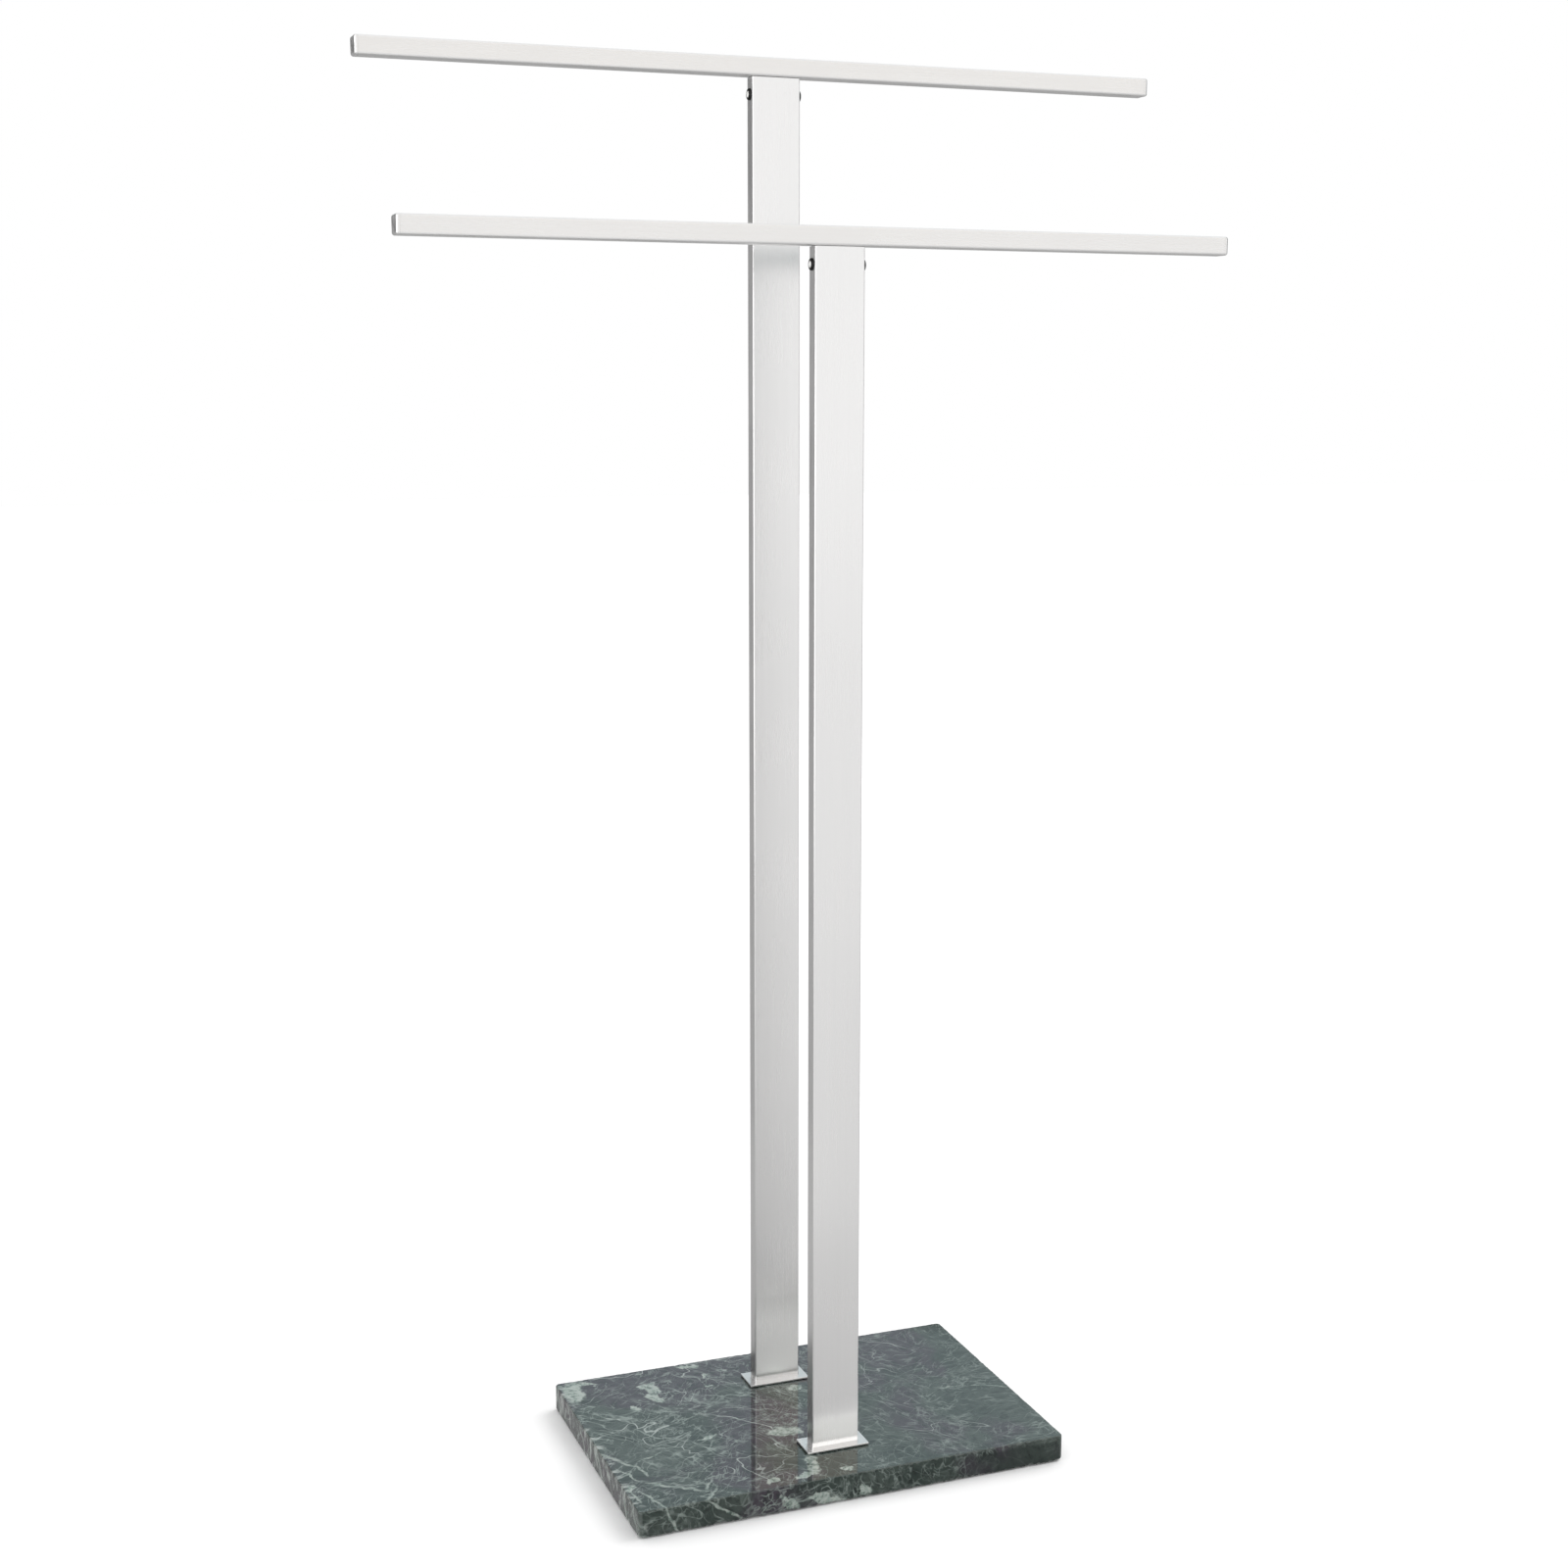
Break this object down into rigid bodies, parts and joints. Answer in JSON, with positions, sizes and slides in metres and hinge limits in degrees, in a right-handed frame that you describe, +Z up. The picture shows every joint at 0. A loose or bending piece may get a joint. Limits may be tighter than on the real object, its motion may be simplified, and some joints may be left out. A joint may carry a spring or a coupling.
{
  "type": "valet stand",
  "caption": "Floor-standing valet and towel stand: flat brushed-steel posts on a polished green marble slab, each carrying a level hanging bar, the rear bar higher than the front.",
  "frame": {"origin": "on the floor, under the centre of the marble slab", "axes": "+X along the bars, +Y from the front post to the taller rear post, +Z up"},
  "size_m": [0.546, 0.2, 0.927],
  "materials": {
    "green_marble": "polished, dark green with pale veins",
    "brushed_steel": "brushed lengthwise, satin",
    "blackened_steel": "black, with a bright worn socket",
    "plain_steel": "plain zinc-plated",
    "pad_rubber": "matt"
  },
  "bodies": {
    "root": {"base_slab": "green_marble", "front_left_foot_pad": "pad_rubber", "front_right_foot_pad": "pad_rubber", "rear_left_foot_pad": "pad_rubber", "rear_right_foot_pad": "pad_rubber", "rear_post": "brushed_steel", "rear_foot_plate": "brushed_steel", "rear_anchor_block": "plain_steel", "rear_left_base_screw": "plain_steel", "rear_right_base_screw": "plain_steel", "rear_left_base_washer": "plain_steel", "rear_right_base_washer": "plain_steel", "rear_bar_tube": "brushed_steel", "rear_bar_left_cap": "brushed_steel", "rear_bar_right_cap": "brushed_steel", "rear_bar_tongue": "plain_steel", "rear_left_clamp_screw": "blackened_steel", "rear_right_clamp_screw": "blackened_steel", "front_post": "brushed_steel", "front_foot_plate": "brushed_steel", "front_anchor_block": "plain_steel", "front_left_base_screw": "plain_steel", "front_right_base_screw": "plain_steel", "front_left_base_washer": "plain_steel", "front_right_base_washer": "plain_steel", "front_bar_tube": "brushed_steel", "front_bar_left_cap": "brushed_steel", "front_bar_right_cap": "brushed_steel", "front_bar_tongue": "plain_steel", "front_left_clamp_screw": "blackened_steel", "front_right_clamp_screw": "blackened_steel"}
  },
  "joints": []
}
